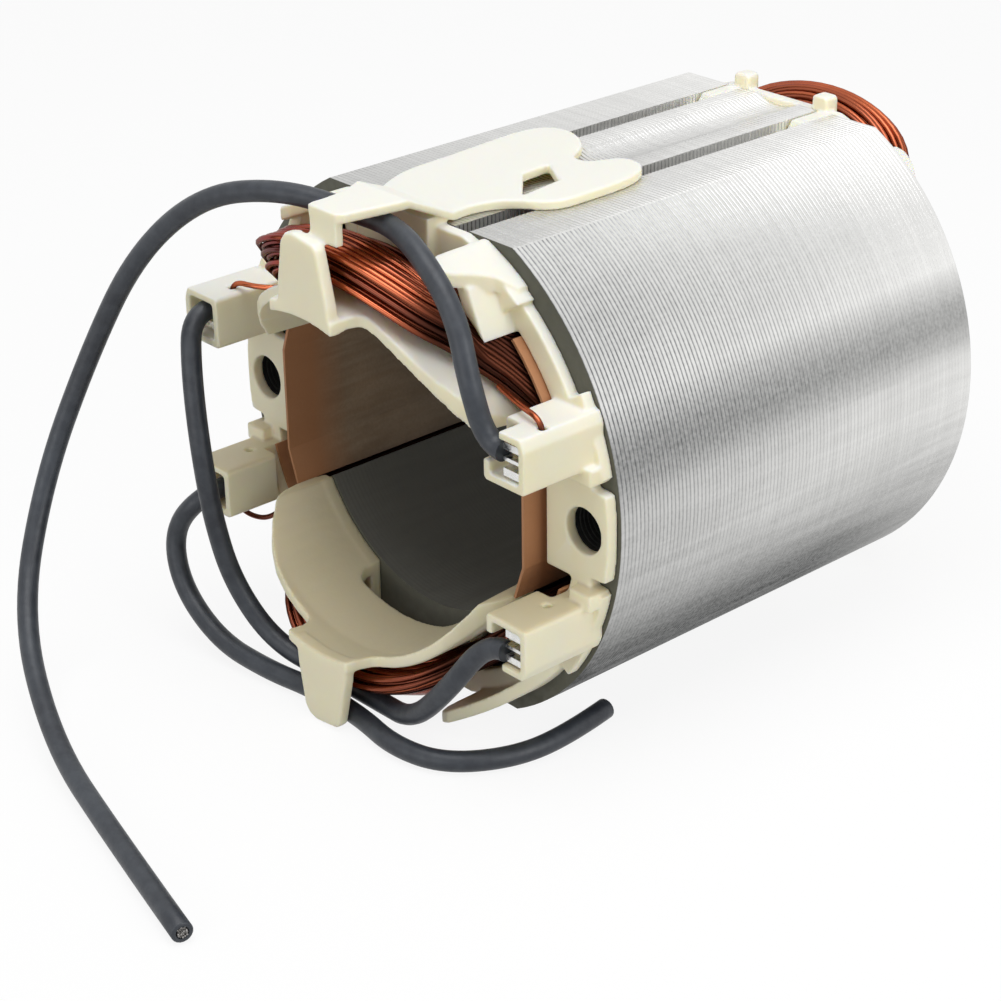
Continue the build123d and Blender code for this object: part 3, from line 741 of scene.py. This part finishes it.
def sleeveMesh(name, line, cutEnd):
    radius = sleeve["diameter"] / 2
    sides = sleeve["sides"]
    frames = framesAlong(line)
    rings = [ringOf(place, radius, sides) for place in frames]
    if cutEnd:
        point, across, up = frames[-1]
        ahead = across.cross(up).normalized()
        lip, bore = sleeve["lip"], sleeve["bore"] / 2
        rings[-1] = ringOf((point - ahead * lip, across, up), radius, sides)
        for back, size in ((0, radius - lip), (0, bore + lip / 2), (lip, bore), (sleeve["cutDepth"], bore)):
            rings.append(ringOf((point - ahead * back, across, up), size, sides))
    points, faces = [], []
    joinRings(points, faces, rings, caps=True)
    return meshFrom(name, points, faces)


def strandEndMesh(name, line):
    # nineteen fine strands in the sleeve's cut end
    dice = random.Random(sleeve["seed"])
    point, across, up = framesAlong(line)[-1]
    ahead = across.cross(up).normalized()
    radius = sleeve["strandRadius"]
    tipLength, tipWidth = sleeve["strandTip"]
    centres = [(0.0, 0.0)]
    for ring, count in sleeve["strandRings"]:
        for k in range(count):
            angle = 2 * math.pi * k / count + sleeve["strandTwist"] * ring
            centres.append((2 * radius * ring * math.cos(angle), 2 * radius * ring * math.sin(angle)))
    points, faces = [], []
    for a, b in centres:
        middle = point + across * a + up * b
        reach = sleeve["strandStickOut"] * dice.uniform(*sleeve["strandUneven"])
        lean = (across * dice.uniform(-1, 1) + up * dice.uniform(-1, 1)) * radius * sleeve["strandLean"]
        stretch = [(middle - ahead * sleeve["cutDepth"] * sleeve["strandSeat"], radius), (middle, radius),
                   (middle + lean + ahead * (reach - tipLength * radius), radius),
                   (middle + lean + ahead * reach, radius * tipWidth)]
        rings = [ringOf((p, across, up), r, sleeve["strandSides"]) for p, r in stretch]
        joinRings(points, faces, rings, caps=True)
    return meshFrom(name, points, faces)


for name, lead in leads.items():
    line = routeLine(lead["route"], sleeve["steps"])
    piece = addPiece(name, sleeveMesh(name, line, lead["endNode"] is not None), leadRubber,
                     [lead["node"]])
    piece.data.set_sharp_from_angle(angle=math.radians(sleeve["cutEdge"]))
    if lead["endNode"]:
        endName = name + "Strands"
        addPiece(endName, strandEndMesh(endName, line), tinnedStrand,
                             [lead["endNode"]])
print("stage: leads laid")


# Core: a hundred sheets with a fine groove between each two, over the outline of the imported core

coreStack = {
    "sheets": 100,
    "grooveHalfWidth": 0.065 * mm,
    "grooveDepth": 0.06 * mm,
    "boreGroove": 0.012 * mm,
    "boreEdge": 19.0 * mm,
    "cornerLimit": 0.35,  # a sharper corner doesn't move further in
    "sharpEdge": 28,  # degrees
    "weld": 1e-6,
}


def outlineLoops(source, level):
    # closed outlines of the flat face at y = level, as lists of (x, z)
    weld = coreStack["weld"]
    flat = bmesh.new()
    flat.from_mesh(source)
    bmesh.ops.remove_doubles(flat, verts=flat.verts, dist=weld)
    inFace = {f for f in flat.faces if all(abs(v.co.y - level) < weld for v in f.verts)}
    border = {}
    for edge in flat.edges:
        if sum(f in inFace for f in edge.link_faces) == 1:
            a, b = edge.verts
            border.setdefault(a, []).append(b)
            border.setdefault(b, []).append(a)
    loops = []
    while border:
        start = min(border, key=lambda v: v.index)
        loop, before, here = [], None, start
        while True:
            loop.append((here.co.x, here.co.z))
            following = [v for v in border.pop(here) if v is not before and (v in border or v is start)]
            if not following or (following[0] is start and len(loop) > 2):
                break
            before, here = here, following[0]
        loops.append(loop)
    flat.free()
    return loops


def signedArea(loop):
    return sum(a[0] * b[1] - b[0] * a[1] for a, b in zip(loop, loop[1:] + loop[:1])) / 2


def insetLoop(loop):
    # the loop moved to its left by the depth of a groove, less in the bore
    moved = []
    for i, (x, z) in enumerate(loop):
        normals = []
        for a, b in ((loop[i - 1], loop[i]), (loop[i], loop[(i + 1) % len(loop)])):
            edge = Vector((b[0] - a[0], b[1] - a[1]))
            normals.append(Vector((-edge.y, edge.x)).normalized())
        middle = normals[0] + normals[1]
        inBore = math.hypot(x, z) < coreStack["boreEdge"]
        depth = coreStack["boreGroove"] if inBore else coreStack["grooveDepth"]
        scale = depth / max(coreStack["cornerLimit"], middle.length_squared / 2)
        moved.append((x + middle.x * scale, z + middle.y * scale))
    return moved


def laminatedCore(source):
    low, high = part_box("core_stack")
    loops = outlineLoops(source, low.y)
    loops.sort(key=lambda loop: -abs(signedArea(loop)))
    for i, loop in enumerate(loops):
        wanted = 1 if i == 0 else -1  # steel on the left of each loop
        if signedArea(loop) * wanted < 0:
            loop.reverse()
    sheets, half = coreStack["sheets"], coreStack["grooveHalfWidth"]
    pitch = (high.y - low.y) / sheets
    points, faces, starts = [], [], []
    for loop in loops:
        inset = insetLoop(loop)
        rings = [[Vector((x, low.y, z)) for x, z in loop]]
        for k in range(sheets):
            top = low.y + (k + 1) * pitch
            last = k == sheets - 1
            if k:
                rings.append([Vector((x, top - pitch + half, z)) for x, z in loop])
            rings.append([Vector((x, top if last else top - half, z)) for x, z in loop])
            if not last:
                rings.append([Vector((x, top, z)) for x, z in inset])
        starts.append(len(points))
        joinRings(points, faces, rings)
    triangles = tessellate_polygon([[Vector((x, z, 0)) for x, z in loop] for loop in loops])
    frontIndex, backIndex = [], []
    rows = len(rings) - 1
    for first, loop in zip(starts, loops):
        frontIndex.extend(range(first, first + len(loop)))
        backIndex.extend(range(first + rows * len(loop), first + (rows + 1) * len(loop)))
    for triangle in triangles:
        faces.append(tuple(frontIndex[k] for k in triangle))
        faces.append(tuple(backIndex[k] for k in reversed(triangle)))
    mesh = meshFrom("laminatedCore", points, faces)
    fixer = bmesh.new()
    fixer.from_mesh(mesh)
    bmesh.ops.recalc_face_normals(fixer, faces=fixer.faces)
    fixer.to_mesh(mesh)
    fixer.free()
    mesh.set_sharp_from_angle(angle=math.radians(coreStack["sharpEdge"]))
    return mesh


addPiece("laminatedCore", laminatedCore(nodes["core_stack"].data), laminationSteel,
         ["core_stack"])
print("stage: core stacked")


# Coils: every turn is a strand, laid in columns and rows that loosen in the end turns

windings = {
    "wire": 0.62,  # all lengths here are in mm
    "sides": 8,
    "steps": 26,  # from the slot to the pole's middle
    "length": 50.0,
    "slotColumns": 18,
    "slotRows": 4,
    "slotSize": (11.8, 2.9),
    "endColumns": 12,
    "endRows": 6,
    "endSize": (8.9, 5.1),
    "rowShift": 0.25,  # of a column
    "cornerPower": 5,  # 2 is a round bundle, more is squarer
    "settled": 0.45,  # share of the way at which a strand has its place in the end turns
    "loose": 0.4,
    "wander": 0.15,
    "waves": 4,
    "waveRate": 1.6,
    "phases": 6.28,
    "strayShare": 0.12,  # of the strands wander further
    "strayWander": 2.6,
    "joins": (0.25, 0.5, 0.75),
    "shadeFrom": 8.0,  # arc length from the pole's middle at which painted shade on the strands begins
    "shadeTo": 13.5,
    "innerRadius": 19.5,
    "innerRise": 0.07,  # per mm before the face, past the first 2 mm
    "slotRadius": 22.4,
    "unrollRadius": 20.95,
    "faceGap": 2.0,
    "bulgeLength": 6.0,
    "swell": (4.9, 3.0),  # where the bundle swells outward, and over what length
    "rearReach": 0.72,
    "outerRoute": [(23.4, 0.0), (22.8, -1.2), (21.1, -2.5), (18.8, -4.0), (16.4, -5.9), (14.0, -8.1),
                   (11.2, -10.2), (7.6, -11.6), (3.9, -12.3), (0.0, -12.5)],
    "innerRoute": [(11.6, 0.0), (11.5, -0.7), (11.1, -1.6), (10.3, -2.3), (9.0, -2.9), (7.4, -3.3),
                   (5.6, -3.5), (3.8, -3.6), (1.9, -3.6), (0.0, -3.6)],
    "coils": {
        "topWinding": {"node": "top_coil", "side": 1, "frontRadius": 24.6, "rearRadius": 24.2,
                       "cornerCut": 0.0, "seed": 11},
        "bottomWinding": {"node": "bottom_coil", "side": -1, "frontRadius": 23.7, "rearRadius": 24.2,
                          "cornerCut": 0.62, "seed": 23},
    },
}


def routePoint(route, travel):
    # smooth curve through a route's points, mirrored past its end
    place = min(max(travel, 0.0), 1.0) * (len(route) - 1)
    i = min(int(place), len(route) - 2)
    t = place - i
    a = route[i - 1] if i > 0 else (2 * route[0][0] - route[1][0], 2 * route[0][1] - route[1][1])
    b, c = route[i], route[i + 1]
    d = route[i + 2] if i + 2 < len(route) else (-route[-2][0], route[-2][1])
    blended = []
    for p, q, r, s in zip(a, b, c, d):
        blended.append(0.5 * (2 * q + (r - p) * t + (2 * p - 5 * q + 4 * r - s) * t * t
                              + (3 * q - p - 3 * r + s) * t * t * t))
    return blended


def bundlePoint(coil, across, outward, travel, rear):
    # angle round the axis, place along it and radius of a point of the bundle
    outerS, outerY = routePoint(windings["outerRoute"], travel)
    innerS, innerY = routePoint(windings["innerRoute"], travel)
    if not rear and coil["cornerCut"]:
        bulge = ease((-outerY - windings["faceGap"]) / windings["bulgeLength"])
        excess = max(0.0, across + outward - 2 + coil["cornerCut"] * bulge) / 2
        across, outward = across - excess, outward - excess
    reach = windings["rearReach"] if rear else 1.0
    s = innerS + (outerS - innerS) * across
    y = innerY + (outerY * reach - innerY) * across
    low = windings["innerRadius"] + windings["innerRise"] * max(0.0, -y - windings["faceGap"])
    endRadius = coil["rearRadius"] if rear else coil["frontRadius"]
    swellFrom, swellLength = windings["swell"]
    swell = ease((-y - swellFrom) / swellLength)
    high = windings["slotRadius"] + (endRadius - windings["slotRadius"]) * swell
    radius = low + (high - low) * outward
    return s / windings["unrollRadius"], y, radius


def packedPlace(column, columns, row, rows, width, depth):
    # place of a strand's centre in the bundle, from 0 to 1 each way, held inside its rounded outline
    half = windings["wire"] / 2
    shift = windings["rowShift"] if row % 2 else -windings["rowShift"]
    a = 2 * (column + 0.5 + shift) / columns - 1
    b = 2 * (row + 0.5) / rows - 1
    a, b = max(-1.0, min(1.0, a)), max(-1.0, min(1.0, b))
    power = windings["cornerPower"]
    size = (abs(a) ** power + abs(b) ** power) ** (1 / power)
    if size > 1:
        a, b = a / size, b / size
    return 0.5 + a * (0.5 - half / width), 0.5 + b * (0.5 - half / depth)


def strandPlaces():
    # for each strand its place in the slot and in the end turns
    slotColumns, slotRows = windings["slotColumns"], windings["slotRows"]
    endColumns, endRows = windings["endColumns"], windings["endRows"]
    places = []
    for group in range(endColumns):
        members = range(group * endRows, (group + 1) * endRows)
        for rank, k in enumerate(sorted(members, key=lambda k: (k % slotRows, k // slotRows))):
            inSlot = packedPlace(k // slotRows, slotColumns, k % slotRows, slotRows, *windings["slotSize"])
            inEnd = packedPlace(group, endColumns, rank, endRows, *windings["endSize"])
            places.append((inSlot, inEnd))
    return places


def strandLine(coil, inSlot, inEnd, dice, reach):
    # one closed turn round the pole, and how much painted shade it has at each point
    width, depth = windings["endSize"]
    marginAcross, marginOut = windings["wire"] / 2 / width, windings["wire"] / 2 / depth
    shadeFrom, shadeTo = windings["shadeFrom"], windings["shadeTo"]
    length, steps, phases = windings["length"], windings["steps"], windings["phases"]
    waves = {}
    for rear in (False, True):
        waves[rear] = [(dice.uniform(-1, 1) * reach / n, dice.uniform(-1, 1) * reach / n,
                        dice.uniform(0, phases), dice.uniform(0, phases))
                       for n in range(1, windings["waves"] + 1)]
    line, shades = [], []
    for rear in (False, True):
        for k in range(-steps, steps + 1):
            travel = 1 - abs(k) / steps
            side = -1 if (k < 0) == rear else 1
            settled = ease(travel / windings["settled"])
            across = inSlot[0] + (inEnd[0] - inSlot[0]) * settled
            outward = inSlot[1] + (inEnd[1] - inSlot[1]) * settled
            loose = ease(travel / windings["loose"])
            phase = -k / steps if rear else k / steps
            for n, (du, dv, pu, pv) in enumerate(waves[rear], start=1):
                wave = windings["waveRate"] * n * phase
                across += du * loose * math.sin(wave + pu) / width
                outward += dv * loose * math.sin(wave + pv) / depth
            across = min(max(across, marginAcross), 1 - marginAcross)
            outward = min(max(outward, marginOut), 1 - marginOut)
            angle, y, radius = bundlePoint(coil, across, outward, travel, rear)
            shades.append(ease((angle * windings["unrollRadius"] - shadeFrom) / (shadeTo - shadeFrom)))
            sideways, upward = side * math.sin(angle), coil["side"] * math.cos(angle)
            along = length - y if rear else y
            line.append(Vector((radius * sideways, along, radius * upward)) * mm)
        # the straight run through the slot, first to the back and then home again
        joint = line[-1]
        for t in windings["joins"]:
            if rear:
                line.append(joint.lerp(line[0], t))
            else:
                line.append(line[-1].lerp(Vector((joint.x, length * mm, joint.z)), t))
            shades.append(1.0)
    return line, shades


def windingMesh(name, coil):
    dice = random.Random(coil["seed"])
    sides = windings["sides"]
    radius = windings["wire"] * mm / 2
    points, faces, tones, shades = [], [], [], []
    for inSlot, inEnd in strandPlaces():
        strays = dice.random() < windings["strayShare"]
        reach = windings["wander"] * (windings["strayWander"] if strays else 1.0)
        line, lineShades = strandLine(coil, inSlot, inEnd, dice, reach)
        tone = dice.random()
        rings = [ringOf(place, radius, sides) for place in framesAlong(line, closed=True)]
        start = len(points)
        joinRings(points, faces, rings)
        # the last ring meets the first at the nearest turn of its corners
        offset = min(range(sides), key=lambda k: (rings[-1][k] - rings[0][0]).length)
        last = start + (len(rings) - 1) * sides
        for k in range(sides):
            n = (k + 1) % sides
            faces.append((last + (k + offset) % sides, last + (n + offset) % sides, start + n, start + k))
        tones.extend([tone] * (len(points) - start))
        shades.extend(shade for shade in lineShades for k in range(sides))
    mesh = meshFrom(name, points, faces)
    keepOnPoints(mesh, strandTone=tones, strandShade=shades)
    return mesh


for name, coil in windings["coils"].items():
    addPiece(name, windingMesh(name, coil), enamelledWire, [coil["node"]])
print("stage: coils wound")


# Lead-out wires between the coils and the towers: hooks at the upper ones, loops at the lower ones

leadOuts = {
    "diameter": 0.55 * mm,
    "cutEdge": 50,  # degrees, sharper edges stay sharp
    "sides": 12,
    "steps": 8,
    "darkFrom": 0.6,  # painted shade towards the tip, from this share of the length
    "darkOver": 0.25,
    "hookTone": 0.1,
    "loopTone": 0.9,
    "hooks": {"leadOutUpperRight": ("lead_out_upper_right", 24.25),
              "leadOutUpperLeft": ("lead_out_upper_left", -21.7)},
    "loops": {"leadOutLowerRight": ("lead_out_lower_right", 22.9),
              "leadOutLowerLeft": ("lead_out_lower_left", -22.9)},
}


def bendWire(name, route, replaced, tone):
    sides = leadOuts["sides"]
    line = routeLine([Vector(p) * mm for p in route], leadOuts["steps"])
    rings = [ringOf(place, leadOuts["diameter"] / 2, sides) for place in framesAlong(line)]
    points, faces = [], []
    joinRings(points, faces, rings, caps=True)
    mesh = meshFrom(name, points, faces)
    # painted shade towards the tip, where the wire goes down into the tower
    shades = [ease((i / len(rings) - leadOuts["darkFrom"]) / leadOuts["darkOver"])
              for i in range(len(rings)) for k in range(sides)]
    keepOnPoints(mesh, strandTone=[tone] * len(points), strandShade=shades)
    mesh.set_sharp_from_angle(angle=math.radians(leadOuts["cutEdge"]))
    return addPiece(name, mesh, enamelledWire, [replaced])


for name, (node, endX) in leadOuts["hooks"].items():
    side = math.copysign(1, endX)
    route = [(side * 16.4, -4.6, 13.1), (side * (abs(endX) - 3.8), -6.0, 13.1), (endX, -6.5, 12.9),
             (endX, -6.5, 11.5)]
    bendWire(name, route, node, leadOuts["hookTone"])
for name, (node, endX) in leadOuts["loops"].items():
    side = math.copysign(1, endX)
    route = [(side * 17.9, -5.4, -12.2), (side * 18.9, -5.8, -13.1), (side * 21.2, -6.2, -13.5),
             (endX, -6.5, -13.0), (endX, -6.5, -11.5)]
    bendWire(name, route, node, leadOuts["loopTone"])
print("stage: lead-outs bent")


# Moulded end frames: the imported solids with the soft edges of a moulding

mouldings = {
    "weld": 2e-6,
    "voxel": 0.14 * mm,
    "smooth": 14,
    "smoothFactor": 0.5,
    "frames": {
        "frontFrame": {"node": "front_end_frame", "triangles": 190000},
        "rearFrame": {"node": "rear_end_frame", "triangles": 100000},
    },
}


def softMoulding(name, settings):
    body = bmesh.new()
    body.from_mesh(nodes[settings["node"]].data)
    bmesh.ops.remove_doubles(body, verts=body.verts, dist=mouldings["weld"])
    rough = bpy.data.meshes.new(name + "Rough")
    body.to_mesh(rough)
    body.free()
    holder = bpy.data.objects.new(name + "Rough", rough)
    scene.collection.objects.link(holder)
    remesh = holder.modifiers.new("remesh", "REMESH")
    remesh.mode = "VOXEL"
    remesh.voxel_size = mouldings["voxel"]
    soften = holder.modifiers.new("soften", "SMOOTH")
    soften.factor = mouldings["smoothFactor"]
    soften.iterations = mouldings["smooth"]
    thin = holder.modifiers.new("thin", "DECIMATE")
    bpy.context.view_layer.update()
    fine = holder.evaluated_get(bpy.context.evaluated_depsgraph_get())
    thin.ratio = min(1.0, settings["triangles"] / (2 * len(fine.data.polygons)))
    bpy.context.view_layer.update()
    mesh = bpy.data.meshes.new_from_object(holder.evaluated_get(bpy.context.evaluated_depsgraph_get()))
    bpy.data.objects.remove(holder)
    bpy.data.meshes.remove(rough)
    mesh.name = name
    mesh.polygons.foreach_set("use_smooth", [True] * len(mesh.polygons))
    mesh.update()
    return mesh


for name, settings in mouldings["frames"].items():
    mesh = softMoulding(name, settings)
    print("  ", name, "triangles", sum(len(p.vertices) - 2 for p in mesh.polygons))
    addPiece(name, mesh, ivoryPlastic, [settings["node"]])
print("stage: end frames moulded")


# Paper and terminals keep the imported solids

terminalEdge = {
    "width": 0.09 * mm,
    "segments": 2,
}
paperNodes = ["slot_closure_right", "slot_closure_left", "slot_liner_upper_right", "slot_liner_upper_left",
              "slot_liner_lower_right", "slot_liner_lower_left"]
tinNodes = ["terminal_upper_right", "terminal_lower_right", "terminal_upper_left", "terminal_lower_left"]
for names, material in ((paperNodes, slotPaper), (tinNodes, tinPlate)):
    for name in names:
        nodes[name].data.materials.clear()
        nodes[name].data.materials.append(material)
for name in tinNodes:
    edge = nodes[name].modifiers.new("foldedEdge", "BEVEL")
    edge.width = terminalEdge["width"]
    edge.segments = terminalEdge["segments"]
    edge.limit_method = "ANGLE"
print("stage: paper and terminals finished")


# Studio

studio = {
    "floorSize": 4.0,
    "floorColor": (0.55, 0.55, 0.55),
    "floorSeen": (0.97, 0.97, 0.97),
    "floorGlow": 0.88,
    "floorRoughness": 0.9,
    "worldLevel": 0.30,
    "lamps": [   # places in mm
        {"name": "topLamp", "from": (40, -50, 440), "size": 0.42, "power": 1.32},
        {"name": "sideLamp", "from": (430, 60, 190), "size": 0.30, "power": 0.74},
        {"name": "frontLamp", "from": (20, -480, 90), "size": 0.40, "power": 0.56},
    ],
    "aim": (0, 15, 0),
}


def seenRays(tree):
    path = newNode(tree, "ShaderNodeLightPath")
    total = mathNode(tree, "ADD", path.outputs["Is Camera Ray"], path.outputs["Is Glossy Ray"])
    total = mathNode(tree, "ADD", total, path.outputs["Is Transmission Ray"])
    return mathNode(tree, "MINIMUM", total, 1.0)


def makeFloor():
    material = bpy.data.materials.new("studioFloor")
    material.use_nodes = True
    tree = material.node_tree
    tree.nodes.clear()
    pale = newNode(tree, "ShaderNodeBsdfPrincipled")
    path = newNode(tree, "ShaderNodeLightPath")
    link(tree, mixColor(tree, path.outputs["Is Camera Ray"], studio["floorColor"], studio["floorSeen"]),
         pale.inputs["Base Color"])
    pale.inputs["Roughness"].default_value = studio["floorRoughness"]
    glow = newNode(tree, "ShaderNodeEmission")
    mix = newNode(tree, "ShaderNodeMixShader")
    output = newNode(tree, "ShaderNodeOutputMaterial")
    link(tree, mathNode(tree, "MULTIPLY", seenRays(tree), studio["floorGlow"]), mix.inputs[0])
    link(tree, pale.outputs[0], mix.inputs[1])
    link(tree, glow.outputs[0], mix.inputs[2])
    link(tree, mix.outputs[0], output.inputs["Surface"])
    return material


def makeWorld():
    world = bpy.data.worlds.new("studioWorld")
    scene.world = world
    world.use_nodes = True
    tree = world.node_tree
    tree.nodes.clear()
    background = newNode(tree, "ShaderNodeBackground")
    output = newNode(tree, "ShaderNodeOutputWorld")
    level = studio["worldLevel"]
    strength = mathNode(tree, "ADD", mathNode(tree, "MULTIPLY", seenRays(tree), 1 - level), level)
    link(tree, strength, background.inputs["Strength"])
    background.inputs["Color"].default_value = (1, 1, 1, 1)
    link(tree, background.outputs[0], output.inputs["Surface"])


def addLamp(settings):
    data = bpy.data.lights.new(settings["name"], "AREA")
    data.shape = "DISK"
    data.size = settings["size"]
    data.energy = settings["power"]
    lamp = bpy.data.objects.new(settings["name"], data)
    lamp.location = Vector(settings["from"]) * mm
    lamp.rotation_euler = (Vector(studio["aim"]) * mm - lamp.location).to_track_quat("-Z", "Y").to_euler()
    scene.collection.objects.link(lamp)


half = studio["floorSize"] / 2
floorZ = cadBox[0].z
floorMesh = meshFrom("studioFloor", [Vector((x, y, floorZ)) for x, y in (
    (-half, -half), (half, -half), (half, half), (-half, half))], [(0, 1, 2, 3)])
floorMesh.materials.append(makeFloor())
floorPiece = bpy.data.objects.new("studioFloor", floorMesh)
scene.collection.objects.link(floorPiece)
makeWorld()
for settings in studio["lamps"]:
    addLamp(settings)
scene.view_settings.view_transform = "Standard"
print("stage: studio lit")
